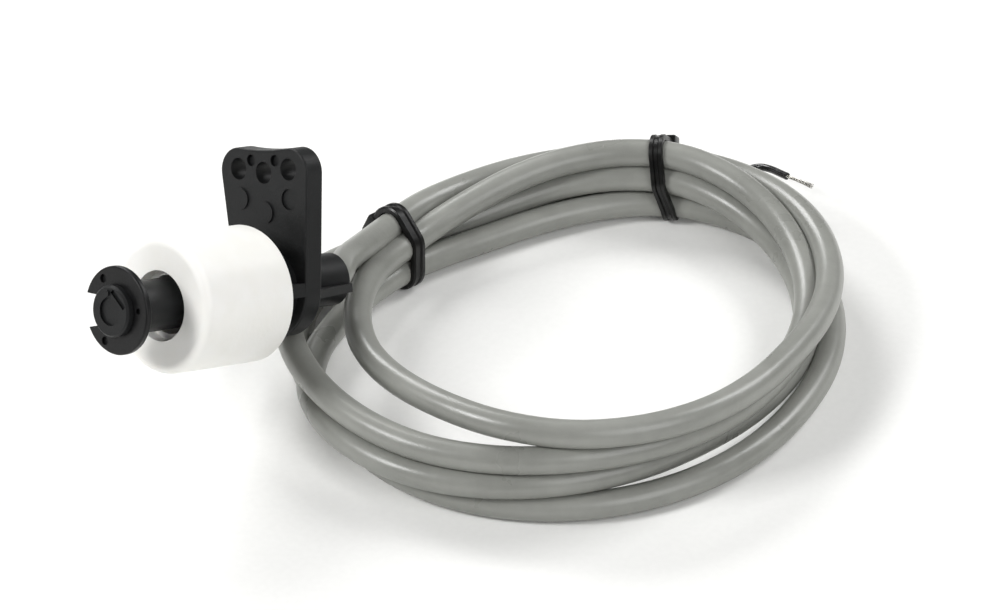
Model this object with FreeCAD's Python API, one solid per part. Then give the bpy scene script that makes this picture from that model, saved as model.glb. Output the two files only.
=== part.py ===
import FreeCAD, Part
import os
from math import acos, atan2, cos, pi, radians, sin, sqrt, tan
from FreeCAD import Placement, Rotation, Vector

# Cable float switch: a black moulded stem with a bracket plate, a white float that slides on the
# stem between the hub and a snap ring, and a grey cable in a loose tied coil.
# Millimetres. The origin is the centre of the plate's middle screw hole. +X points right and +Y
# away as the part is seen lying there, and +Z up. The coil lies on the surface z = floor_z.

# How the switch lies, in degrees: it is held up by its own cable
heading = 42.8
drop = 20.2
roll = 24.8

# Bracket plate, in the switch's own frame: x sideways, y from the stem's tip to the cable, z up
# the plate, with y = 0 on the plate's front face
plate_t = 3.7
plate_foot_r = 8.2
plate_corner_x = 6.05
plate_corner_z = 18.85
plate_corner_r = 3.95
plate_dip_angle = 7.0
plate_edge_r = 0.4
screw_hole_r = 1.8
outer_hole_x = 5.74
outer_hole_z = 19.36
middle_hole_z = 18.77
dimple_x = 2.73
dimple_z = 20.77
dimple_r = 0.95
dimple_depth = 0.6
mark_r = 1.75
mark_depth = 0.35
pad_h = 0.3
mark_x = 5.57
mark_z = 14.48
middle_mark_z = 12.3

# Stem, hub, stub and ribs of the same moulding
stem_r = 4.2
stem_len = 35.7
tip_chamfer = 0.35
tip_recess_r = 2.3
tip_recess_depth = 0.4
tip_slot_l = 3.8
tip_slot_w = 0.8
tip_slot_place = 2.85
tip_slot_angle = 43.0
tip_pip_r = 0.5
tip_pip_h = 0.3
tip_pip_x = -0.25
tip_pip_z = 2.95
hub_r = 6.4
hub_h = 5.15
front_rib_t = 2.2
front_rib_h = 3.6
front_rib_z = -0.2
stub_r = 4.35
stub_len = 10.5
stub_edge_r = 0.4
fin_t = 1.4
fin_z = -1.3
fin_tip = 0.7
stem_bore_r = 2.5
tip_wall = 4.2
stub_bore_r = 3.2

# Snap ring and its groove
clip_r = 7.16
clip_t = 1.2
clip_y = -33.75
clip_edge_r = 0.3
groove_r = 3.2
clip_clearance = 0.05
clip_mouth_inside = 4.7
clip_mouth_outside = 5.7
clip_dimple_depth = 0.5
# each dimple's place and radius
clip_dimples = [(-2.5, 5.1, 0.7), (-3.0, -4.9, 0.7), (5.2, 0.0, 0.5)]

# Float: it hangs on the stem by half of its clearance
float_r = 11.15
float_len = 19.3
float_front_edge_r = 1.5
float_rear_edge_r = 0.4
float_wall = 1.5
float_sleeve_wall = 1.2
float_clearance = 0.6
float_sag_share = 0.5
float_mouth_r = 5.75
float_mouth_depth = 2.2
cap_t = 1.6
cap_step = 0.8
stop_gap = 0.3
magnet_len = 6.0
magnet_clearance = 0.1
magnet_gap = 0.7
magnet_seat = 5.0

# Reed switch and wiring inside the stem
reed_y = -19.5
glass_r = 1.0
glass_len = 13.0
glass_wall = 0.26
glass_end = 1.8
glass_end_r = 0.6
lead_r = 0.22
lead_out = 3.6
blade_w = 0.9
blade_t = 0.16
blade_lap = 1.3
blade_gap = 0.1
low_z = -0.75
high_z = 1.25
solder_bead_r = 0.72
solder_sleeve_r = 0.65
solder_len = 3.0
strip_len = 2.4

# Cable: jacket, cores and conductors
cable_r = 2.35
core_r = 0.635
strand_r = 0.285
core_spread = 0.75
cable_in_stub = 8.0

# Coil: its centre and the surface it lies on, then the innermost and outermost cable axes at
# equal angles, from 150 degrees on and clockwise as seen from above
coil_x = 48.45
coil_y = 5.11
floor_z = -37.9
coil_first_angle = 150.0
coil_inner = [30.9, 27.7, 31.2, 38.9, 40.3, 40.1, 38.9, 40.3, 46.6, 42.6, 38.8, 34.0]
coil_outer = [39.9, 36.9, 39.2, 46.3, 45.4, 44.3, 43.8, 45.8, 48.3, 51.4, 49.2, 46.0]
coil_low_y = 15.0
coil_low_h = 13.0
coil_rise_r = 356.0
coil_edge_r = 2.0
coil_room = 0.6

# Cable from the stub to the coil: points of its axis after the straight exit
exit_straight = 0.9
exit_route = [(10.9, 1.3, -21.2), (11.1, 4.6, -22.1), (12.0, 8.3, -23.3), (13.6, 12.0, -24.6), (16.0, 17.0, -26.0),
              (18.2, 22.1, -27.5)]

# Last stretch of the jacket and the two cores that come out of it
end_route = [(48.4, 42.1, -34.9), (57.4, 43.9, -34.7), (64.7, 45.0, -34.6), (71.0, 46.1, -35.0), (76.4, 46.6, -35.5)]
black_route = [(78.6, 48.6, -35.0), (81.6, 49.1, -34.3), (83.6, 47.3, -33.6), (85.0, 45.0, -32.8), (86.1, 43.3, -32.2)]
black_strands = [(88.3, 41.6, -32.0), (90.3, 40.2, -32.1)]
white_route = [(78.7, 46.6, -36.5), (81.2, 45.9, -37.1), (83.4, 44.4, -37.2), (85.0, 42.4, -37.2)]
white_strands = [(86.2, 40.4, -37.4), (87.0, 38.6, -37.5)]

# Cable ties: each lies at an angle round the coil, turned about the upright to cross the cables
# squarely, and leaning along them. It goes round the cable axes of its bundle (radius, height).
strap_w = 2.6
strap_t = 0.9
strap_groove_w = 1.0
strap_groove_depth = 0.25
strap_room = 0.3
head_l = 3.2
head_w = 3.8
head_t = 2.0
head_edge_r = 0.4
tail_l = 0.6
nub_w = 1.4
nub_h = 0.6
left_tie_angle = 147.5
left_tie_turn = -12.0
left_tie_lean = 15.0
left_tie_bundle = [(31.6, 3.4), (39.9, 3.4), (34.9, 10.4), (30.9, 7.9)]
left_tie_head_place = 0.7
right_tie_angle = 65.0
right_tie_turn = 17.0
right_tie_lean = -14.0
right_tie_bundle = [(38.0, 3.4), (44.5, 3.4), (43.0, 8.7), (39.5, 11.7)]
right_tie_head_place = 0.4

TURN = Rotation(Vector(0, 0, 1), heading - 90) * Rotation(Vector(1, 0, 0), -drop) * Rotation(Vector(0, 1, 0), -roll)
SWITCH = Placement(TURN.multVec(Vector(0, -plate_t / 2, -middle_hole_z)), TURN)
ALONG = Vector(0, 1, 0)
UP = Vector(0, 0, 1)

tip_y = -stem_len
stub_end_y = plate_t + stub_len
cable_start_y = stub_end_y - cable_in_stub
float_rear_y = -hub_h - stop_gap
float_front_y = float_rear_y - float_len
float_bore_r = stem_r + float_clearance
sleeve_r = float_bore_r + float_sleeve_wall


def rod(radius, y0, y1, x=0.0, z=0.0):
    """A round bar along the stem's direction from y0 to y1."""
    return Part.makeCylinder(radius, y1 - y0, Vector(x, y0, z), ALONG)


def block(x0, x1, y0, y1, z0, z1):
    """A box between two corners."""
    return Part.makeBox(x1 - x0, y1 - y0, z1 - z0, Vector(x0, y0, z0))


def turned(points):
    """A solid of revolution about the stem's axis from (radius, y) points."""
    outline = [Vector(r, y, 0) for r, y in points]
    face = Part.Face(Part.makePolygon(outline + outline[:1]))
    return face.revolve(Vector(0, 0, 0), ALONG, 360)


def round_edges(shape, radius, chosen):
    """Fillets the edges for which chosen says yes."""
    edges = [edge for edge in shape.Edges if chosen(edge)]
    return shape.makeFillet(radius, edges)


def ring_edge(radius, y):
    """Picks the circular edge of this radius at this place along the stem."""
    def chosen(edge):
        on_circle = hasattr(edge.Curve, "Radius") and abs(edge.Curve.Radius - radius) < 0.01
        return on_circle and abs(edge.CenterOfMass.y - y) < 0.01
    return chosen


def seated(shape):
    """Puts a shape of the switch's own frame where the switch lies."""
    shape.Placement = SWITCH.multiply(shape.Placement)
    return shape


def hung(shape):
    """Lowers a piece of the float across the stem, then seats it."""
    down = TURN.inverted().multVec(-UP)
    down.y = 0
    down.normalize()
    shape.translate(down * float_clearance * float_sag_share)
    return seated(shape)


def plate_outline():
    """Foot circle, tangent tapering sides, two corner lobes and a shallow dip between them."""
    reach = sqrt(plate_corner_x ** 2 + plate_corner_z ** 2)
    lean = atan2(plate_corner_z, plate_corner_x) - acos((plate_foot_r - plate_corner_r) / reach)
    stop = pi / 2 + radians(plate_dip_angle)

    def foot(angle):
        return Vector(plate_foot_r * cos(angle), 0, plate_foot_r * sin(angle))

    def corner(angle, side):
        x = plate_corner_x + plate_corner_r * cos(angle)
        return Vector(side * x, 0, plate_corner_z + plate_corner_r * sin(angle))

    middle = (lean + stop) / 2
    lobe = corner(stop, 1)
    dip_r = lobe.x / sin(radians(plate_dip_angle))
    dip = Vector(0, 0, lobe.z - dip_r * (1 - cos(radians(plate_dip_angle))))
    left_foot = Vector(-foot(lean).x, 0, foot(lean).z)
    edges = [
        Part.Arc(left_foot, foot(-pi / 2), foot(lean)).toShape(),
        Part.LineSegment(foot(lean), corner(lean, 1)).toShape(),
        Part.Arc(corner(lean, 1), corner(middle, 1), lobe).toShape(),
        Part.Arc(lobe, dip, corner(stop, -1)).toShape(),
        Part.Arc(corner(stop, -1), corner(middle, -1), corner(lean, -1)).toShape(),
        Part.LineSegment(corner(lean, -1), left_foot).toShape(),
    ]
    return Part.Wire(edges)


def bracket_plate():
    """The plate with its softened outline, screw holes, dimples, two round pads and a round recess."""
    plate = Part.Face(plate_outline()).extrude(Vector(0, plate_t, 0))
    plate = round_edges(plate, plate_edge_r, lambda e: e.BoundBox.YLength < 0.01)
    for x, z in ((-outer_hole_x, outer_hole_z), (0, middle_hole_z), (outer_hole_x, outer_hole_z)):
        plate = plate.cut(rod(screw_hole_r, -1, plate_t + 1, x, z))
    for x in (-dimple_x, dimple_x):
        plate = plate.cut(rod(dimple_r, -1, dimple_depth, x, dimple_z))
    for x, z in ((-mark_x, mark_z), (0, middle_mark_z)):
        plate = plate.fuse(rod(mark_r, -pad_h, plate_t / 2, x, z))
    return plate.cut(rod(mark_r, -1, mark_depth, mark_x, mark_z))


def stem():
    """Stem with the snap ring's groove, a chamfered tip and the marks in its end face."""
    body = turned([
        (0, tip_y), (stem_r - tip_chamfer, tip_y), (stem_r, tip_y + tip_chamfer),
        (stem_r, clip_y - clip_t / 2 - clip_clearance), (groove_r, clip_y - clip_t / 2 - clip_clearance),
        (groove_r, clip_y + clip_t / 2 + clip_clearance), (stem_r, clip_y + clip_t / 2 + clip_clearance),
        (stem_r, 0), (0, 0),
    ])
    body = body.cut(rod(tip_recess_r, tip_y - 1, tip_y + tip_recess_depth))
    slot = block(tip_slot_place - tip_slot_w / 2, tip_slot_place + tip_slot_w / 2,
                 tip_y - 1, tip_y + tip_recess_depth, -tip_slot_l / 2, tip_slot_l / 2)
    slot.rotate(Vector(0, 0, 0), ALONG, -tip_slot_angle)
    pip = rod(tip_pip_r, tip_y - tip_pip_h, tip_y + tip_recess_depth, tip_pip_x, tip_pip_z)
    return body.cut(slot).fuse(pip)


def side_fin(side):
    """Thin fin along the stub, from the plate's edge down to the stub's end."""
    low = fin_z - fin_t / 2
    foot_x = sqrt(plate_foot_r ** 2 - low ** 2) - plate_edge_r
    points = [(0, plate_t / 2), (foot_x, plate_t / 2), (foot_x, plate_t), (stub_r + fin_tip, stub_end_y - stub_edge_r),
              (0, stub_end_y - stub_edge_r)]
    outline = [Vector(side * x, y, low) for x, y in points]
    return Part.Face(Part.makePolygon(outline + outline[:1])).extrude(Vector(0, 0, fin_t))


def housing():
    """One moulding: plate, stem, hub, cross rib, stub and fins, bored from the cable's end."""
    body = bracket_plate().fuse([stem(), rod(hub_r, -hub_h, 0)])
    rib_low = front_rib_z - front_rib_t / 2
    rib_x = sqrt(plate_foot_r ** 2 - rib_low ** 2)
    body = body.fuse(block(-rib_x, rib_x, -front_rib_h, plate_t / 2, rib_low, rib_low + front_rib_t))
    stub = round_edges(rod(stub_r, 0, stub_end_y), stub_edge_r, ring_edge(stub_r, stub_end_y))
    body = body.fuse([stub, side_fin(-1), side_fin(1)])
    return body.cut(bore()).removeSplitter()


def bore():
    """Blind bore in the stem and the wider one in the stub."""
    return rod(stem_bore_r, tip_y + tip_wall, plate_t).fuse(rod(stub_bore_r, plate_t / 2, stub_end_y))


def retaining_clip():
    """Snap ring with a mouth that widens to one side, and small dimples in its face."""
    front = clip_y - clip_t / 2
    ring = rod(clip_r, front, front + clip_t)
    ring = round_edges(ring, clip_edge_r, lambda e: hasattr(e.Curve, "Radius"))
    ring = ring.cut(rod(groove_r + clip_clearance, front - 1, front + clip_t + 1))
    flare = (clip_mouth_outside - clip_mouth_inside) / 2 / (clip_r - groove_r)
    reach = clip_r + 1
    near = clip_mouth_inside / 2 - flare * groove_r
    far = near + flare * reach
    outline = [Vector(0, front - 1, near), Vector(-reach, front - 1, far), Vector(-reach, front - 1, -far),
               Vector(0, front - 1, -near)]
    mouth = Part.Face(Part.makePolygon(outline + outline[:1])).extrude(Vector(0, clip_t + 2, 0))
    ring = ring.cut(mouth)
    for x, z, radius in clip_dimples:
        ring = ring.cut(rod(radius, front - 1, front + clip_dimple_depth, x, z))
    return ring


def float_shell():
    """Float body: outer wall, front wall and the sleeve that slides on the stem, open behind."""
    shoulder = float_front_y + magnet_seat
    shell = turned([
        (float_mouth_r, float_front_y), (float_r, float_front_y), (float_r, float_rear_y),
        (float_r - float_wall / 2, float_rear_y), (float_r - float_wall / 2, float_rear_y - cap_step),
        (float_r - float_wall, float_rear_y - cap_step), (float_r - float_wall, float_front_y + float_wall),
        (sleeve_r + float_wall, float_front_y + float_wall), (sleeve_r + float_wall, shoulder),
        (sleeve_r, shoulder), (sleeve_r, float_rear_y - cap_t), (float_bore_r, float_rear_y - cap_t),
        (float_bore_r, float_front_y + float_mouth_depth), (float_mouth_r, float_front_y + float_mouth_depth),
    ])
    shell = round_edges(shell, float_front_edge_r, ring_edge(float_r, float_front_y))
    return round_edges(shell, float_rear_edge_r, ring_edge(float_r, float_rear_y))


def float_cap():
    """Disc that closes the float behind, stepped into its wall and resting on the sleeve."""
    rim = float_r - float_wall / 2
    return turned([
        (float_bore_r, float_rear_y - cap_t), (float_r - float_wall, float_rear_y - cap_t),
        (float_r - float_wall, float_rear_y - cap_step), (rim, float_rear_y - cap_step),
        (rim, float_rear_y), (float_bore_r, float_rear_y),
    ])


def float_magnet():
    """Ring magnet on the sleeve, against its shoulder, a little clear of the float's wall."""
    start = float_front_y + magnet_seat
    outer = rod(float_r - float_wall - magnet_gap, start, start + magnet_len)
    return outer.cut(rod(sleeve_r + magnet_clearance, start, start + magnet_len))


def lead_and_blade(end, side):
    """One reed: a flat blade in the capsule and its round lead out of one end."""
    cavity = glass_len / 2 - glass_end
    outside = reed_y + end * (glass_len / 2 + lead_out)
    inside = reed_y + end * (cavity - blade_w)
    lead = rod(lead_r, min(inside, outside), max(inside, outside), 0, low_z)
    z = low_z + side * (blade_t + blade_gap) / 2
    tip = reed_y - end * blade_lap / 2
    root = reed_y + end * cavity
    blade = block(-blade_w / 2, blade_w / 2, min(tip, root), max(tip, root), z - blade_t / 2, z + blade_t / 2)
    return lead.fuse(blade)


def reed_blade_front():
    """Front reed: its lead turns up to the conductor that runs beside the capsule."""
    y = reed_y - glass_len / 2 - lead_out
    riser = Part.makeCylinder(lead_r, high_z - strand_r - low_z, Vector(0, y, low_z), UP)
    elbow = Part.makeSphere(lead_r, Vector(0, y, low_z))
    return lead_and_blade(-1, 1).fuse([elbow, riser])


def reed_blade_rear():
    """Rear reed with a straight lead."""
    return lead_and_blade(1, -1)


def capsule():
    """Outer shape of the reed's glass: a bar with rounded ends."""
    bar = rod(glass_r, reed_y - glass_len / 2, reed_y + glass_len / 2, 0, low_z)
    return round_edges(bar, glass_end_r, lambda e: hasattr(e.Curve, "Radius"))


def reed_glass_tube():
    """Glass capsule, hollow inside and sealed onto both leads."""
    half = glass_len / 2 - glass_end
    cavity = rod(glass_r - glass_wall, reed_y - half, reed_y + half, 0, low_z)
    return capsule().cut(cavity).cut(reed_blade_front()).cut(reed_blade_rear())


def conductor_span(name):
    """Where a conductor ends in the stem, and at what height it runs."""
    front_joint = reed_y - glass_len / 2 - lead_out
    rear_joint = reed_y + glass_len / 2 + lead_out
    return {"white": (front_joint - lead_r, high_z), "black": (rear_joint, low_z)}[name]


def inner_strands(name):
    """Conductor of one core from its joint to the cable's jacket."""
    end, z = conductor_span(name)
    return rod(strand_r, end, cable_start_y, 0, z)


def inner_core(name):
    """Insulation of one core from its stripped end to the cable's jacket."""
    end, z = conductor_span(name)
    start = end + strip_len
    return rod(core_r, start, cable_start_y, 0, z).cut(rod(strand_r, start, cable_start_y, 0, z))


def solder_front():
    """Bead of solder where the front lead meets its conductor."""
    y = reed_y - glass_len / 2 - lead_out
    bead = Part.makeSphere(solder_bead_r, Vector(0, y, high_z))
    return bead.cut(inner_strands("white")).cut(reed_blade_front())


def solder_rear():
    """Sleeve of solder over the butted rear lead and conductor."""
    y = reed_y + glass_len / 2 + lead_out
    sleeve = rod(solder_sleeve_r, y - solder_len / 2, y + solder_len / 2, 0, low_z)
    return sleeve.cut(inner_strands("black")).cut(reed_blade_rear())


def potting(inner_pieces):
    """Resin that fills the bore round the reed switch and its wiring."""
    return bore().cut([capsule()] + inner_pieces)


def smooth_path(points, name):
    """Straight runs joined by tangent arcs, each as large as its two runs allow."""
    edges = []
    start = points[0]
    radii = []
    for before, corner, after in zip(points, points[1:], points[2:]):
        one = before - corner
        two = after - corner
        turn = pi - one.getAngle(two)
        trim = 0.45 * min(one.Length, two.Length)
        radius = trim / tan(turn / 2)
        radii.append(round(radius, 1))
        one.normalize()
        two.normalize()
        first = corner + one * trim
        last = corner + two * trim
        centre_way = one + two
        centre_way.normalize()
        centre = corner + centre_way * (radius / cos(turn / 2))
        middle = centre - centre_way * radius
        edges.append(Part.LineSegment(start, first).toShape())
        edges.append(Part.Arc(first, middle, last).toShape())
        start = last
    edges.append(Part.LineSegment(start, points[-1]).toShape())
    print(name, "bend radii", radii)
    return Part.Wire(edges)


def tube(points, radius, name):
    """A round bar along such a path, with its volume set against section times length."""
    path = smooth_path(points, name)
    way = points[1] - points[0]
    section = Part.Wire(Part.makeCircle(radius, points[0], way))
    solid = path.makePipeShell([section], True, True)
    expected = pi * radius ** 2 * path.Length
    print(name, "length", round(path.Length, 1), "volume ratio", round(solid.Volume / expected, 4))
    return solid


def coil_wall(radii, offset, height):
    """Upright prism inside a closed smooth curve through the coil's stations."""
    points = []
    for step, radius in enumerate(radii):
        angle = radians(coil_first_angle - 360.0 * step / len(radii))
        reach = radius + offset
        points.append(Vector(coil_x + reach * cos(angle), coil_y + reach * sin(angle), floor_z))
    curve = Part.BSplineCurve()
    curve.interpolate(Points=points, PeriodicFlag=True)
    return Part.Face(Part.Wire(curve.toShape())).extrude(Vector(0, 0, height))


def coil_profile():
    """The coil's height seen from its side: low at the rear, higher where the turns stack in front."""
    reach = 2 * max(coil_outer)
    left = coil_x - reach / 2

    def top(y):
        rise = coil_rise_r - sqrt(coil_rise_r ** 2 - (y - coil_low_y) ** 2)
        return Vector(left, coil_y + y, floor_z + coil_low_h + rise)

    near, far = top(-reach / 2), top(reach / 2)
    floor_near, floor_far = Vector(left, near.y, floor_z), Vector(left, far.y, floor_z)
    edges = [Part.Arc(near, top(coil_low_y), far).toShape(), Part.LineSegment(far, floor_far).toShape(),
             Part.LineSegment(floor_far, floor_near).toShape(), Part.LineSegment(floor_near, near).toShape()]
    return Part.Face(Part.Wire(edges)).extrude(Vector(reach, 0, 0))


def tie_frame(angle, turn, lean, bundle):
    """Placement of a tie's plane: local x outwards from the coil, y up, z along the cable."""
    a = radians(angle)
    outwards = Vector(cos(a), sin(a), 0)
    square = Rotation(outwards, UP, outwards.cross(UP), "XYZ")
    middle = Vector(sum(r for r, z in bundle) / len(bundle), sum(z for r, z in bundle) / len(bundle), 0)
    place = Vector(coil_x, coil_y, floor_z) + square.multVec(middle)
    turned_square = square * Rotation(ALONG, turn) * Rotation(Vector(1, 0, 0), lean)
    return Placement(place, turned_square).multiply(Placement(-middle, Rotation()))


def belt(bundle, offset, length):
    """Prism inside a band drawn tight round the bundle's cables, offset from their axes."""
    edges = []
    count = len(bundle)
    corners = [Vector(r, z, -length / 2) for r, z in bundle]
    normals = []
    for a, b in zip(corners, corners[1:] + corners[:1]):
        way = b - a
        way.normalize()
        normals.append(Vector(way.y, -way.x, 0))
    for i in range(count):
        before, after = normals[i - 1], normals[i]
        half = before + after
        half.normalize()
        edges.append(Part.Arc(corners[i] + before * offset, corners[i] + half * offset,
                              corners[i] + after * offset).toShape())
        following = corners[(i + 1) % count]
        edges.append(Part.LineSegment(corners[i] + after * offset, following + after * offset).toShape())
    return Part.Face(Part.Wire(edges)).extrude(Vector(0, 0, length))


def on_side(bundle, side, share):
    """A place on the skin of the bundle, part of the way along one of its sides, facing out."""
    a = Vector(*bundle[side], 0)
    b = Vector(*bundle[(side + 1) % len(bundle)], 0)
    way = b - a
    way.normalize()
    out = Vector(way.y, -way.x, 0)
    return Placement(a + (b - a) * share + out * cable_r, Rotation(way, out, way.cross(out), "XYZ"))


def head_room(bundle, head_place):
    """Space that a tie's head and tail need outside the bundle."""
    reach = head_l / 2 + tail_l + strap_room
    half = head_w / 2 + strap_room
    room = block(-reach, reach, 0, 2 * head_t, -half, half)
    room.Placement = on_side(bundle, 1, head_place).multiply(room.Placement)
    return room


def tie(bundle, head_place):
    """Grooved strap drawn round the bundle, its square head outside and the cropped tail."""
    skin = cable_r + strap_t
    strap = belt(bundle, skin, strap_w).cut(belt(bundle, cable_r, strap_w))
    groove = belt(bundle, skin, strap_groove_w).cut(belt(bundle, skin - strap_groove_depth, strap_groove_w))
    head = block(-head_l / 2, head_l / 2, 0, head_t, -head_w / 2, head_w / 2)
    head = round_edges(head, head_edge_r, lambda e: e.CenterOfMass.y > 0.01)
    tail = block(0, head_l / 2 + tail_l, strap_t, 2 * strap_t, -strap_w / 2, strap_w / 2)
    for piece in (head, tail):
        piece.Placement = on_side(bundle, 1, head_place).multiply(piece.Placement)
    nub = block(-nub_w / 2, nub_w / 2, 0, strap_t + nub_h, -nub_w / 2, nub_w / 2)
    nub.Placement = on_side(bundle, 3, 0.7).multiply(nub.Placement)
    return strap.cut(groove).fuse([head, tail, nub]).removeSplitter()


def cable_coil(ties):
    """The tied coil as one closed solid of its outer shape, drawn in where the ties hold it."""
    height = 4 * coil_low_h
    ring = coil_wall(coil_outer, cable_r, height).cut(coil_wall(coil_inner, -cable_r, height))
    ring = ring.common(coil_profile())
    ring = round_edges(ring, coil_edge_r, lambda e: e.Length > 4 * coil_inner[0])
    room = rod(stub_r + coil_room, 0, stub_end_y + coil_room)
    room = room.fuse(rod(plate_foot_r + coil_room, -coil_room, plate_t + coil_room))
    ring = ring.cut(seated(room))
    width = strap_w + 2 * strap_room
    for frame, bundle, head_place in ties.values():
        inside = belt(bundle, cable_r, width)
        around = belt(bundle, 3 * cable_r + head_t, width).fuse(head_room(bundle, head_place))
        for piece in (inside, around):
            piece.Placement = frame.multiply(piece.Placement)
        ring = ring.cut(around).fuse(inside)
    return ring


def biggest(shape):
    """The largest solid of a cut that leaves slivers."""
    return max(shape.Solids, key=lambda s: s.Volume)


def row_points(numbers):
    return [Vector(*point) for point in numbers]


def cable_at_switch(coil):
    """Jacket from inside the stub to where it joins the coil."""
    inside = SWITCH.multVec(Vector(0, cable_start_y, 0))
    leave = SWITCH.multVec(Vector(0, stub_end_y + exit_straight, 0))
    solid = tube([inside, leave] + row_points(exit_route), cable_r, "cable_at_switch")
    return biggest(solid.cut(coil))


def free_core(route, strands, z_offset, jacket, name):
    """Insulated core and its bare conductor, from the jacket's end face to the tip."""
    start = row_points(end_route)[-1]
    way = start - row_points(end_route)[-2]
    way.normalize()
    lift = UP - way * UP.dot(way)
    lift.normalize()
    first = start + lift * z_offset - way * core_r
    outer = tube([first] + row_points(route), core_r, name)
    inner = tube([first] + row_points(route + strands), strand_r, name + "_strands")
    return outer.cut([inner, jacket]), inner.cut(jacket)


def main():
    pieces = {}
    pieces["housing"] = seated(housing())
    pieces["retaining_clip"] = seated(retaining_clip())
    pieces["float_shell"] = hung(float_shell())
    pieces["float_cap"] = hung(float_cap())
    pieces["float_magnet"] = hung(float_magnet())
    inner = {
        "reed_blade_front": reed_blade_front(),
        "reed_blade_rear": reed_blade_rear(),
        "inner_core_black": inner_core("black"),
        "inner_core_white": inner_core("white"),
        "inner_strands_black": inner_strands("black"),
        "inner_strands_white": inner_strands("white"),
        "solder_front": solder_front(),
        "solder_rear": solder_rear(),
    }
    resin = seated(potting(list(inner.values())))
    pieces["reed_glass_tube"] = seated(reed_glass_tube())
    for name, shape in inner.items():
        pieces[name] = seated(shape)
    ties = {
        "tie_left": (tie_frame(left_tie_angle, left_tie_turn, left_tie_lean, left_tie_bundle),
                     left_tie_bundle, left_tie_head_place),
        "tie_right": (tie_frame(right_tie_angle, right_tie_turn, right_tie_lean, right_tie_bundle),
                      right_tie_bundle, right_tie_head_place),
    }
    straps = {}
    for name, (frame, bundle, head_place) in ties.items():
        straps[name] = tie(bundle, head_place)
        straps[name].Placement = frame.multiply(straps[name].Placement)
    coil = cable_coil(ties)
    cable = cable_at_switch(coil)
    pieces["potting"] = resin.cut(cable)
    pieces["cable_coil"] = coil
    pieces["cable_at_switch"] = cable
    jacket = tube(row_points(end_route), cable_r, "cable_free_end")
    pieces["cable_free_end"] = biggest(jacket.cut([coil, straps["tie_right"]]))
    for name, route, strands, side in (("core_black", black_route, black_strands, 1),
                                       ("core_white", white_route, white_strands, -1)):
        insulation, conductor = free_core(route, strands, side * core_spread, jacket, name)
        pieces[name] = insulation
        pieces[name + "_strands"] = conductor
    pieces.update(straps)

    os.makedirs("parts", exist_ok=True)
    for name, shape in pieces.items():
        print(name, "solids", len(shape.Solids), "valid", shape.isValid(), "volume", round(shape.Volume, 2))
        shape.exportStep(os.path.join("parts", name + ".step"))


main()
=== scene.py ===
import math

import bmesh
import bpy
from mathutils import Matrix, Vector


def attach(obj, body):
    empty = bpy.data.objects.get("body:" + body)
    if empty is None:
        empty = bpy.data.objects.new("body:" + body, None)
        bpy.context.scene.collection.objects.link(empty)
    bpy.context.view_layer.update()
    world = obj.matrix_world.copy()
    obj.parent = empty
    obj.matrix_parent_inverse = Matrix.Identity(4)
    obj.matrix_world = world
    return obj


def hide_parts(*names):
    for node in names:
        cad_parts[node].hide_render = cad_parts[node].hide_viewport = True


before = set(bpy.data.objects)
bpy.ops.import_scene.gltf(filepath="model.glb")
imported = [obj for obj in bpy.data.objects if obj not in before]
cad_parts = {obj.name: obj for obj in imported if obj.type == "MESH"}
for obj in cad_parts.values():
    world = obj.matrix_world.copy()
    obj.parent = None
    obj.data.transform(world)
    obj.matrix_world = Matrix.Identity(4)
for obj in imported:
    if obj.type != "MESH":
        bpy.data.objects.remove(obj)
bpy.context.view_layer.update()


# The view: a long lens looks down at the table from in front, without roll. The switch lies at the
# left and the coil at the right.
camera_lens = 234.0
camera_place = Vector((0.0371, -0.8565, 0.6183))
camera_down = math.radians(37.0)
camera = bpy.data.objects.new("camera", bpy.data.cameras.new("camera"))
camera.data.lens = camera_lens
camera.data.clip_start = 0.05
camera.data.clip_end = 20.0
camera.location = camera_place
camera.rotation_euler = (math.pi / 2 - camera_down, 0.0, 0.0)
bpy.context.scene.collection.objects.link(camera)
bpy.context.scene.camera = camera


# The cable: 26 AWG two-core lead in a soft grey PVC jacket, extruded in one length. It leaves the
# stub, turns into a loose coil of four and a third turns, and its jacket ends behind the coil.
cable_r = 0.00235
floor_z = -0.0379
coil_centre = Vector((0.04845, 0.00511, floor_z))
first_angle = 150.0
stations_per_turn = 12
# distance of the cable's axis from the coil's centre at each station, one line for each turn
station_radii = [
    0.0346, 0.0365, 0.0392, 0.0439, 0.0454, 0.0436, 0.0416, 0.0448, 0.0468, 0.0426, 0.0388, 0.0340,
    0.0315, 0.0307, 0.0348, 0.0404, 0.0408, 0.0401, 0.0400, 0.0430, 0.0472, 0.0499, 0.0491, 0.0460,
    0.0362, 0.0321, 0.0343, 0.0389, 0.0403, 0.0401, 0.0389, 0.0403, 0.0471, 0.0514, 0.0492, 0.0377,
    0.0308, 0.0277, 0.0312, 0.0393, 0.0440, 0.0443, 0.0438, 0.0458, 0.0483, 0.0490, 0.0456, 0.0452,
    0.0407, 0.0369,
]
# its height above the table at the same stations
station_heights = [
    0.0103, 0.0079, 0.0083, 0.0088, 0.0101, 0.0110, 0.0126, 0.0147, 0.0160, 0.0148, 0.0126, 0.0110,
    0.0075, 0.0094, 0.0116, 0.0122, 0.0101, 0.0082, 0.0086, 0.0100, 0.0115, 0.0108, 0.0106, 0.0096,
    0.0058, 0.0045, 0.0070, 0.0081, 0.0057, 0.0035, 0.0040, 0.0050, 0.0069, 0.0064, 0.0060, 0.0044,
    0.0033, 0.0028, 0.0030, 0.0032, 0.0025, 0.0024, 0.0024, 0.0024, 0.0024, 0.0024, 0.0024, 0.0026,
    0.0024, 0.0028,
]
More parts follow.
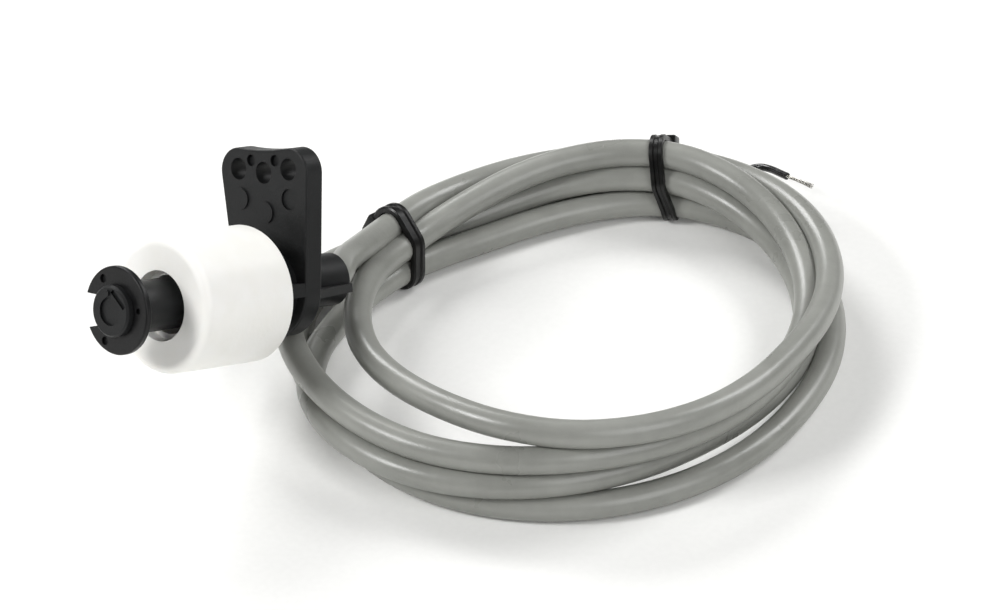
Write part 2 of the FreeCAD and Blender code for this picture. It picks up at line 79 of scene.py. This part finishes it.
# the stretch from the stub to the coil, and the last one behind the coil
exit_route = [
    Vector((0.0109, 0.0013, -0.0212)), Vector((0.0111, 0.0046, -0.0221)),
    Vector((0.0120, 0.0083, -0.0233)), Vector((0.0136, 0.0120, -0.0246)),
    Vector((0.0160, 0.0170, -0.0260)),
]
end_route = [
    Vector((0.0484, 0.0421, -0.0349)), Vector((0.0574, 0.0439, -0.0347)),
    Vector((0.0647, 0.0450, -0.0346)), Vector((0.0710, 0.0461, -0.0350)),
    Vector((0.0764, 0.0466, -0.0355)),
]


def between(values, i):
    """Value half way from station i to the next, on a smooth curve through its neighbours."""
    before = values[max(i - 1, 0)]
    after = values[min(i + 2, len(values) - 1)]
    return (9.0 * (values[i] + values[i + 1]) - before - after) / 16.0


def coil_route():
    """Two control points for each station, turning clockwise as seen from above."""
    points = []
    for half_step in range(2 * len(station_radii) - 1):
        i = half_step // 2
        middle = half_step % 2 == 1
        radius = between(station_radii, i) if middle else station_radii[i]
        height = between(station_heights, i) if middle else station_heights[i]
        angle = math.radians(first_angle - 360.0 / stations_per_turn * half_step / 2)
        out = Vector((math.cos(angle), math.sin(angle), 0.0)) * radius
        points.append(coil_centre + out + Vector((0.0, 0.0, max(height, cable_r))))
    return points


def line_curve(name, points):
    """One smooth open spline with these control points."""
    data = bpy.data.curves.new(name, "CURVE")
    data.dimensions = "3D"
    spline = data.splines.new("NURBS")
    spline.points.add(len(points) - 1)
    for point, place in zip(spline.points, points):
        point.co = (*place, 1.0)
    spline.order_u = 3
    spline.use_endpoint_u = True
    spline.resolution_u = 6
    curve = bpy.data.objects.new(name, data)
    bpy.context.scene.collection.objects.link(curve)
    return curve


def make_round(curve, radius, sides):
    """Turns the line into a round cord of this radius with closed ends."""
    for point in curve.data.splines[0].points:
        point.radius = radius
    curve.data.bevel_depth = 1.0
    curve.data.bevel_resolution = sides
    curve.data.use_fill_caps = True


# the tilted switch's own axes: along the stem towards the cable, sideways, and up the plate
heading = Vector((0.6886, 0.6377, -0.3453))
side = Vector((0.7231, -0.5677, 0.3937))
plate_up = Vector((-0.0550, 0.5207, 0.8519))
half_plate = 0.00185
middle_hole_z = 0.01877
switch_zero = -half_plate * heading - middle_hole_z * plate_up


def on_switch(x, y, z):
    """A place given sideways, along the stem towards the cable, and up the plate."""
    return switch_zero + x * side + y * heading + z * plate_up


cable_start_y = 0.0062
straight_end_y = 0.0151
stub_route = [on_switch(0.0, cable_start_y, 0.0), on_switch(0.0, straight_end_y, 0.0)]
cable = line_curve("cable_jacket", stub_route + exit_route + coil_route() + end_route)
make_round(cable, cable_r, 6)
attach(cable, "switch")
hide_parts("cable_coil", "cable_at_switch", "cable_free_end")


# a noise's grey lies mostly between these two, so tones and numbers are spread over this range
noise_low = 0.35
noise_high = 0.65


def linear(hex_colour):
    """An sRGB hex colour as linear red, green, blue and alpha."""
    parts = [int(hex_colour[i:i + 2], 16) / 255.0 for i in (0, 2, 4)]
    return tuple(p / 12.92 if p <= 0.04045 else ((p + 0.055) / 1.055) ** 2.4 for p in parts) + (1.0,)


def add(tree, kind, inputs=None, **settings):
    """Adds a node. An input that is another node's socket is linked, any other is a value."""
    node = tree.nodes.new(kind)
    for key, value in settings.items():
        setattr(node, key, value)
    for key, value in (inputs or {}).items():
        if isinstance(value, bpy.types.NodeSocket):
            tree.links.new(value, node.inputs[key])
        else:
            node.inputs[key].default_value = value
    return node


def new_material(name):
    """An empty material, its node tree, its output node and the place on the object."""
    material = bpy.data.materials.new(name)
    material.use_nodes = True
    tree = material.node_tree
    tree.nodes.clear()
    output = tree.nodes.new("ShaderNodeOutputMaterial")
    return material, tree, output, add(tree, "ShaderNodeTexCoord").outputs["Object"]


def noise(tree, place, scale, detail, roughness=0.5):
    """Soft random grey, so many cycles to the metre."""
    return add(tree, "ShaderNodeTexNoise", {"Vector": place, "Scale": scale, "Detail": detail,
                                            "Roughness": roughness}).outputs["Fac"]


def two_tones(tree, factor, dark, light):
    """Blends two colours over the middle of a random grey."""
    ramp = add(tree, "ShaderNodeValToRGB", {"Fac": factor})
    ramp.color_ramp.elements[0].position = noise_low
    ramp.color_ramp.elements[0].color = linear(dark)
    ramp.color_ramp.elements[1].position = noise_high
    ramp.color_ramp.elements[1].color = linear(light)
    return ramp.outputs["Color"]


def spread(tree, factor, low, high):
    """The middle of a random grey stretched over a range of numbers."""
    inputs = {"Value": factor, "From Min": noise_low, "From Max": noise_high, "To Min": low, "To Max": high}
    return add(tree, "ShaderNodeMapRange", inputs).outputs["Result"]


def relief(tree, height, depth):
    """A normal that stands for dents of this depth in metres."""
    inputs = {"Height": height, "Strength": 1.0, "Distance": depth}
    return add(tree, "ShaderNodeBump", inputs).outputs["Normal"]


def finish(tree, output, inputs):
    """Gives a material its surface, a Principled shader with these inputs."""
    shader = add(tree, "ShaderNodeBsdfPrincipled", inputs)
    tree.links.new(shader.outputs["BSDF"], output.inputs["Surface"])


def dress(names, material):
    """Gives nodes of the frame this material."""
    for name in names:
        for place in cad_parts[name].material_slots:
            place.material = material


# The jacket's skin: satin PVC, a little uneven in tone where hands have been on it, with the fine
# drag of the extruder's die. A few soft scuffs run over the coil.
pvc, tree, output, place = new_material("extruded_grey_pvc")
cloud = noise(tree, place, 70.0, 4.0, 0.55)
scuffs = noise(tree, place, 420.0, 5.0, 0.6)
# a Mix node's colours are its sockets 6 and 7, and the blend comes out of socket 2
scuffed = add(tree, "ShaderNodeMix", {
    "Factor": spread(tree, scuffs, 0.0, 0.16),
    6: two_tones(tree, cloud, "858681", "90918C"),
    7: linear("A3A49E"),
}, data_type="RGBA")
finish(tree, output, {
    "Base Color": scuffed.outputs[2],
    "Roughness": spread(tree, cloud, 0.27, 0.35),
    "IOR": 1.53,
    "Normal": relief(tree, noise(tree, place, 2400.0, 2.0), 0.00002),
})
cable.data.materials.append(pvc)


# Housing: stem, hub, bracket plate, ribs and stub in one moulding of black glass-filled polymer. Its
# surface is satin from a spark-eroded mould, and slightly greyer where the fibres lie near it.
moulding, tree, output, place = new_material("moulded_black_polymer")
patches = noise(tree, place, 160.0, 3.0)
finish(tree, output, {
    "Base Color": two_tones(tree, patches, "101112", "161718"),
    "Roughness": spread(tree, patches, 0.42, 0.52),
    "IOR": 1.5,
    "Specular IOR Level": 0.3,
    "Normal": relief(tree, noise(tree, place, 3800.0, 3.0, 0.6), 0.00003),
})
dress(["housing"], moulding)


# Snap ring: black acetal, punched smooth on its flat faces, pushed sideways into the stem's groove.
# It is a little glossier than the housing.
acetal, tree, output, place = new_material("black_acetal")
rub = noise(tree, place, 500.0, 4.0)
finish(tree, output, {
    "Base Color": two_tones(tree, rub, "0E0E0F", "141415"),
    "Roughness": spread(tree, rub, 0.34, 0.44),
    "IOR": 1.48,
    "Specular IOR Level": 0.3,
    "Normal": relief(tree, noise(tree, place, 2600.0, 2.0), 0.00002),
})
dress(["retaining_clip"], acetal)


# Float: a hollow white polypropylene body, moulded, with a disc welded into its rear end. The wall
# lets a little light in, so it looks warm and soft rather than chalky.
polypropylene, tree, output, place = new_material("white_polypropylene")
haze = noise(tree, place, 120.0, 3.0)
finish(tree, output, {
    "Base Color": two_tones(tree, haze, "F3F2ED", "F8F7F4"),
    "Roughness": spread(tree, haze, 0.42, 0.52),
    "IOR": 1.49,
    "Subsurface Weight": 0.12,
    "Subsurface Radius": (1.0, 0.9, 0.8),
    "Subsurface Scale": 0.0012,
    "Normal": relief(tree, noise(tree, place, 1500.0, 2.0), 0.00002),
})
dress(["float_shell", "float_cap"], polypropylene)


# Magnet ring: sintered ferrite, pressed and ground, dropped over the float's sleeve before the disc
# is welded in. Dull and dark with a fine grain.
ferrite, tree, output, place = new_material("sintered_ferrite")
grains = noise(tree, place, 2200.0, 5.0, 0.7)
finish(tree, output, {
    "Base Color": two_tones(tree, grains, "2E2E30", "434345"),
    "Roughness": spread(tree, grains, 0.5, 0.7),
    "Metallic": 0.3,
    "Normal": relief(tree, grains, 0.00006),
})
dress(["float_magnet"], ferrite)


# Reed switch: a clear glass capsule with a green tint, fused round two nickel-iron blades. It lies
# in the stem, beside the conductor that comes back from its far end.
glass, tree, output, place = new_material("green_tinted_glass")
seeds = noise(tree, place, 900.0, 2.0)
finish(tree, output, {
    "Base Color": two_tones(tree, seeds, "BFE3CC", "CDEBD8"),
    "Roughness": spread(tree, seeds, 0.02, 0.06),
    "IOR": 1.52,
    "Transmission Weight": 0.9,
})
dress(["reed_glass_tube"], glass)

nickel_iron, tree, output, place = new_material("drawn_nickel_iron")
lines = noise(tree, place, 1800.0, 3.0)
finish(tree, output, {
    "Base Color": two_tones(tree, lines, "B9B5AD", "CBC8C1"),
    "Roughness": spread(tree, lines, 0.26, 0.4),
    "Metallic": 1.0,
})
dress(["reed_blade_front", "reed_blade_rear"], nickel_iron)


# Solder and resin: a bead and a sleeve of tin solder join the leads to the conductors, and black
# epoxy poured in from the stub holds everything in the bore.
solder, tree, output, place = new_material("tin_solder")
frost = noise(tree, place, 1500.0, 4.0)
finish(tree, output, {
    "Base Color": two_tones(tree, frost, "BDBDBF", "D2D2D3"),
    "Roughness": spread(tree, frost, 0.2, 0.38),
    "Metallic": 1.0,
})
dress(["solder_front", "solder_rear"], solder)

resin, tree, output, place = new_material("black_epoxy")
cure = noise(tree, place, 300.0, 3.0)
finish(tree, output, {
    "Base Color": two_tones(tree, cure, "151516", "1C1C1D"),
    "Roughness": spread(tree, cure, 0.18, 0.3),
    "IOR": 1.55,
    "Normal": relief(tree, cure, 0.0001),
})
dress(["potting"], resin)


# Cores: two conductors in thin extruded PVC, one black and one white, that come out of the
# jacket's cut end and out of its other end inside the stub. The insulation is smooth and shiny.
def core_insulation(name, dark, light):
    """Thin glossy PVC in one colour."""
    material, tree, output, place = new_material(name)
    cloud = noise(tree, place, 600.0, 3.0)
    finish(tree, output, {
        "Base Color": two_tones(tree, cloud, dark, light),
        "Roughness": spread(tree, cloud, 0.2, 0.3),
        "IOR": 1.53,
    })
    return material


dress(["core_black", "inner_core_black"], core_insulation("black_core_pvc", "131314", "1A1A1B"))
dress(["core_white", "inner_core_white"], core_insulation("white_core_pvc", "DEDCD5", "E8E6E0"))


# Conductors: seven tinned copper wires twisted together. Outside their insulation they are bare
# and spread a little towards the cut tip.
tinned, tree, output, place = new_material("tinned_copper")
drawn = noise(tree, place, 2500.0, 3.0)
finish(tree, output, {
    "Base Color": two_tones(tree, drawn, "BDBAB4", "D3D1CC"),
    "Roughness": spread(tree, drawn, 0.24, 0.36),
    "Metallic": 1.0,
})
dress(["inner_strands_black", "inner_strands_white"], tinned)

wires = 7
wire_r = 0.000095
wire_sides = 8
lay_r = 0.00019
twists = 1.6
tip_spread = 0.9
strand_steps = 48


def twisting_nodes():
    """Node group that lays wires in a helix along a curve, one straight through the middle."""
    group = bpy.data.node_groups.new("twisted_wires", "GeometryNodeTree")
    sockets = group.interface
    sockets.new_socket(name="Geometry", in_out="OUTPUT", socket_type="NodeSocketGeometry")
    sockets.new_socket(name="Geometry", in_out="INPUT", socket_type="NodeSocketGeometry")
    sockets.new_socket(name="Wires", in_out="INPUT", socket_type="NodeSocketInt")
    for name in ("Wire radius", "Lay radius", "Twists", "Tip spread"):
        sockets.new_socket(name=name, in_out="INPUT", socket_type="NodeSocketFloat")
    sockets.new_socket(name="Material", in_out="INPUT", socket_type="NodeSocketMaterial")
    given = add(group, "NodeGroupInput").outputs

    def maths(operation, a, b=0.0):
        return add(group, "ShaderNodeMath", {0: a, 1: b}, operation=operation).outputs["Value"]

    def vectors(operation, inputs):
        return add(group, "ShaderNodeVectorMath", inputs, operation=operation).outputs["Vector"]

    even = add(group, "GeometryNodeResampleCurve", {"Curve": given["Geometry"], "Count": strand_steps})
    copies = add(group, "GeometryNodeDuplicateElements",
                 {"Geometry": even.outputs["Curve"], "Amount": given["Wires"]}, domain="SPLINE")
    along = add(group, "GeometryNodeSplineParameter").outputs["Factor"]
    # wire 0 is the middle one, and the others share the circle round it
    number = copies.outputs["Duplicate Index"]
    outer = maths("MINIMUM", number, 1.0)
    ring = maths("DIVIDE", number, maths("SUBTRACT", given["Wires"], 1.0))
    turned = maths("ADD", ring, maths("MULTIPLY", along, given["Twists"]))
    turn = maths("MULTIPLY", turned, 2.0 * math.pi)
    opened = maths("ADD", maths("MULTIPLY", maths("POWER", along, 3.0), given["Tip spread"]), 1.0)
    reach = maths("MULTIPLY", maths("MULTIPLY", outer, given["Lay radius"]), opened)
    normal = add(group, "GeometryNodeInputNormal").outputs["Normal"]
    tangent = add(group, "GeometryNodeInputTangent").outputs["Tangent"]
    across = vectors("CROSS_PRODUCT", {0: tangent, 1: normal})
    one = vectors("SCALE", {0: normal, "Scale": maths("MULTIPLY", reach, maths("COSINE", turn))})
    two = vectors("SCALE", {0: across, "Scale": maths("MULTIPLY", reach, maths("SINE", turn))})
    moved = add(group, "GeometryNodeSetPosition",
                {"Geometry": copies.outputs["Geometry"], "Offset": vectors("ADD", {0: one, 1: two})})
    section = add(group, "GeometryNodeCurvePrimitiveCircle",
                  {"Resolution": wire_sides, "Radius": given["Wire radius"]})
    solid = add(group, "GeometryNodeCurveToMesh",
                {"Curve": moved.outputs["Geometry"], "Profile Curve": section.outputs["Curve"],
                 "Fill Caps": True})
    real = add(group, "GeometryNodeRealizeInstances", {"Geometry": solid.outputs["Mesh"]})
    dressed = add(group, "GeometryNodeSetMaterial",
                  {"Geometry": real.outputs["Geometry"], "Material": given["Material"]})
    add(group, "NodeGroupOutput", {"Geometry": dressed.outputs["Geometry"]})
    return group


def twisted_strands(name, group, points):
    """A plain mesh of the wires along a smooth line through these control points."""
    line = line_curve(name + "_line", points)
    modifier = line.modifiers.new("wires", "NODES")
    modifier.node_group = group
    values = {"Wires": wires, "Wire radius": wire_r, "Lay radius": lay_r, "Twists": twists,
              "Tip spread": tip_spread, "Material": tinned}
    for item in group.interface.items_tree:
        if item.in_out == "INPUT" and item.name in values:
            modifier[item.identifier] = values[item.name]
    bpy.context.view_layer.update()
    made = line.evaluated_get(bpy.context.evaluated_depsgraph_get())
    mesh = bpy.data.meshes.new_from_object(made)
    bpy.data.objects.remove(line)
    strands = bpy.data.objects.new(name, mesh)
    bpy.context.scene.collection.objects.link(strands)
    return strands


wire_group = twisting_nodes()
strand_lines = {
    "core_black_strands": [(0.08555, 0.04415, -0.0325), (0.0861, 0.0433, -0.0322),
                           (0.0883, 0.0416, -0.0320), (0.0903, 0.0402, -0.0321)],
    "core_white_strands": [(0.0845, 0.0430, -0.0372), (0.0850, 0.0424, -0.0372),
                           (0.0862, 0.0404, -0.0374), (0.0870, 0.0386, -0.0375)],
}
on_cable = [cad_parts[name] for name in ("core_black", "core_white")]
for node, line in strand_lines.items():
    bare = twisted_strands(node.replace("core", "bare"), wire_group, [Vector(p) for p in line])
    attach(bare, "switch")
    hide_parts(node)
    on_cable.append(bare)


# Cable ties: black nylon, moulded flat with two raised rails, drawn tight round the coil by hand and
# cropped at the head. The left one pulls four of the five strands together, the right one all four.
nylon, tree, output, place = new_material("black_nylon")
rub = noise(tree, place, 700.0, 4.0)
finish(tree, output, {
    "Base Color": two_tones(tree, rub, "090909", "0F0F0E"),
    "Roughness": spread(tree, rub, 0.3, 0.42),
    "IOR": 1.53,
    "Specular IOR Level": 0.35,
    "Normal": relief(tree, noise(tree, place, 2400.0, 2.0), 0.00002),
})

strap_t = 0.0010
rail_h = 0.00028
# where a rail ends, where it begins and where the channel's floor begins, as shares of the width
rail_outer, rail_inner, channel_edge = 0.44, 0.2, 0.12
corner_steps = 10
head_size = Vector((0.0034, 0.0017, 0.0034))
head_edge = 0.0003
tail_size = Vector((0.0006, 0.0008, 0.0022))
tail_edge = 0.0001
tail_height = 0.0014
sharp_angle = math.radians(28.0)


def tie_square(angle, turn, lean):
    """Axes of a tie, from degrees: outwards from the coil, up, and along the cable, as turned by hand."""
    angle = math.radians(angle)
    outwards = Vector((math.cos(angle), math.sin(angle), 0.0))
    up = Vector((0.0, 0.0, 1.0))
    square = Matrix((outwards, up, outwards.cross(up))).transposed()
    by_hand = Matrix.Rotation(math.radians(turn), 3, "Y") @ Matrix.Rotation(math.radians(lean), 3, "X")
    return square @ by_hand


def band(bundle):
    """Places round the bundle, each with its way out: an arc about every corner cable."""
    ways = []
    for a, b in zip(bundle, bundle[1:] + bundle[:1]):
        ways.append(math.atan2(a[0] - b[0], b[1] - a[1]))
    ring = []
    for i, corner in enumerate(bundle):
        swing = (ways[i] - ways[i - 1]) % (2.0 * math.pi)
        for step in range(corner_steps + 1):
            way = ways[i - 1] + swing * step / corner_steps
            ring.append((Vector(corner), Vector((math.cos(way), math.sin(way), 0.0))))
    return ring


def strap_section(width):
    """The strap's outline: depth from the cables and place across it, with two rails outside."""
    low = strap_t - rail_h
    half = width / 2.0
    right = [(low, channel_edge * width), (strap_t, rail_inner * width), (strap_t, rail_outer * width),
             (low, half), (0.0, half)]
    return [(depth, -across) for depth, across in reversed(right)] + right


def box(shape, size, middle, edge, place):
    """Adds a block with softened edges to a mesh in the making."""
    corners = bmesh.ops.create_cube(shape, size=1.0)["verts"]
    bmesh.ops.scale(shape, verts=corners, vec=size)
    bmesh.ops.translate(shape, verts=corners, vec=middle)
    bmesh.ops.transform(shape, verts=corners, matrix=place)
    edges = list({e for v in corners for e in v.link_edges})
    bmesh.ops.bevel(shape, geom=edges, offset=edge, segments=2, profile=0.5, affect="EDGES")


def cable_tie(name, angle, turn, lean, width, bundle, head_place):
    """One tie: a railed strap round the bundle, its head on the outer side and the cropped tail."""
    section = strap_section(width)
    shape = bmesh.new()
    rings = []
    for corner, out in band(bundle):
        rings.append([shape.verts.new(corner + out * (cable_r + depth) + Vector((0.0, 0.0, across)))
                      for depth, across in section])
    for i, ring in enumerate(rings):
        for k in range(len(section)):
            j = (k + 1) % len(section)
            shape.faces.new((rings[i - 1][k], rings[i - 1][j], ring[j], ring[k]))
    a, b = Vector(bundle[1]), Vector(bundle[2])
    way = (b - a).normalized()
    out = Vector((way.y, -way.x, 0.0)).normalized()
    seat = a + (b - a) * head_place + out * cable_r
    place = Matrix.Translation(seat) @ Matrix((way, out, way.cross(out))).transposed().to_4x4()
    box(shape, head_size, Vector((0.0, head_size.y / 2.0, 0.0)), head_edge, place)
    tail_x = -(head_size.x + tail_size.x) / 2.0
    box(shape, tail_size, Vector((tail_x, tail_height, 0.0)), tail_edge, place)
    middle = sum((Vector(corner) for corner in bundle), Vector()) / len(bundle)
    upright = tie_square(angle, 0.0, 0.0)
    turned = tie_square(angle, turn, lean)
    for vertex in shape.verts:
        vertex.co = coil_centre + upright @ middle + turned @ (vertex.co - middle)
    bmesh.ops.recalc_face_normals(shape, faces=shape.faces)
    mesh = bpy.data.meshes.new(name)
    shape.to_mesh(mesh)
    shape.free()
    mesh.shade_smooth()
    mesh.set_sharp_from_angle(angle=sharp_angle)
    mesh.materials.append(nylon)
    tie = bpy.data.objects.new(name, mesh)
    bpy.context.scene.collection.objects.link(tie)
    return tie


# the corner cables of each bundle: distance from the coil's centre, height, and shift along the cable
left_bundle = [(0.0309, 0.0034, 0.0), (0.0362, 0.0058, 0.0), (0.0346, 0.0104, 0.0), (0.0316, 0.0077, 0.0)]
right_bundle = [(0.0378, 0.0034, 0.0008), (0.0430, 0.0087, 0.0), (0.0394, 0.0121, 0.0), (0.0378, 0.0080, 0.0)]
ties = {
    "tie_left": cable_tie("drawn_tie_left", 149.7, -8.0, 12.0, 0.0028, left_bundle, 0.5),
    "tie_right": cable_tie("drawn_tie_right", 65.4, 14.0, -10.0, 0.0024, right_bundle, -0.3),
}
for node, tie in ties.items():
    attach(tie, "switch")
    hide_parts(node)
    on_cable.append(tie)


# The table: a sheet of white paper under the part. What the camera sees of it is lifted a little
# near the coil and up to white far away, where no lamp reaches.
lift_near, lift_far = 0.035, 0.9
lift_from, lift_to = 0.15, 0.5
paper, tree, output, place = new_material("white_paper")
fibres = noise(tree, place, 900.0, 3.0)
sheet = add(tree, "ShaderNodeBsdfDiffuse", {"Color": two_tones(tree, fibres, "F1F1EF", "F3F3F1")})
seen = add(tree, "ShaderNodeLightPath").outputs["Is Camera Ray"]
away = add(tree, "ShaderNodeVectorMath", {0: place, 1: coil_centre}, operation="DISTANCE").outputs["Value"]
graded = add(tree, "ShaderNodeMapRange", {"Value": away, "From Min": lift_from, "From Max": lift_to,
                                          "To Min": lift_near, "To Max": lift_far}).outputs["Result"]
lift = add(tree, "ShaderNodeMath", {0: seen, 1: graded}, operation="MULTIPLY").outputs["Value"]
glow = add(tree, "ShaderNodeEmission", {"Color": (1.0, 1.0, 1.0, 1.0), "Strength": lift})
both = add(tree, "ShaderNodeAddShader", {0: sheet.outputs["BSDF"], 1: glow.outputs["Emission"]})
tree.links.new(both.outputs["Shader"], output.inputs["Surface"])

floor_half = 1.5
floor_mesh = bpy.data.meshes.new("floor")
floor_mesh.from_pydata(
    [(-floor_half, -floor_half, floor_z), (floor_half, -floor_half, floor_z),
     (floor_half, floor_half, floor_z), (-floor_half, floor_half, floor_z)], [], [(0, 1, 2, 3)])
floor = bpy.data.objects.new("floor", floor_mesh)
floor.data.materials.append(paper)
bpy.context.scene.collection.objects.link(floor)


# The light: a soft lamp at the left and a little in front, two at the rear, and a wide one at the
# front right, in an even surround that is dim as a light and white as a background.
lamp_aim = Vector((0.03, 0.0, -0.02))


def soft_lamp(name, place, size, power):
    """A square area lamp turned towards the middle of the part."""
    data = bpy.data.lights.new(name, "AREA")
    data.shape = "SQUARE"
    data.size = size
    data.energy = power
    lamp = bpy.data.objects.new(name, data)
    lamp.location = place
    lamp.rotation_euler = (lamp_aim - Vector(place)).to_track_quat("-Z", "Y").to_euler()
    bpy.context.scene.collection.objects.link(lamp)


soft_lamp("lamp_left", (-0.63, -0.27, 0.52), 0.26, 4.6)
soft_lamp("lamp_rear_left", (-0.3, 0.55, 0.5), 0.34, 4.0)
soft_lamp("lamp_rear_right", (0.6, 0.3, 0.55), 0.34, 3.2)
soft_lamp("lamp_front_right", (0.55, -0.6, 0.5), 0.6, 3.6)

surround_light = 0.14
surround_seen = 1.0
world = bpy.data.worlds.new("surround")
bpy.context.scene.world = world
world.use_nodes = True
tree = world.node_tree
surround = tree.nodes["Background"]
surround.inputs["Color"].default_value = (1.0, 1.0, 1.0, 1.0)
seen = add(tree, "ShaderNodeLightPath").outputs["Is Camera Ray"]
strength = add(tree, "ShaderNodeMath", {0: seen, 1: surround_seen - surround_light, 2: surround_light},
               operation="MULTIPLY_ADD").outputs["Value"]
tree.links.new(strength, surround.inputs["Strength"])
bpy.context.scene.view_settings.view_transform = "Standard"
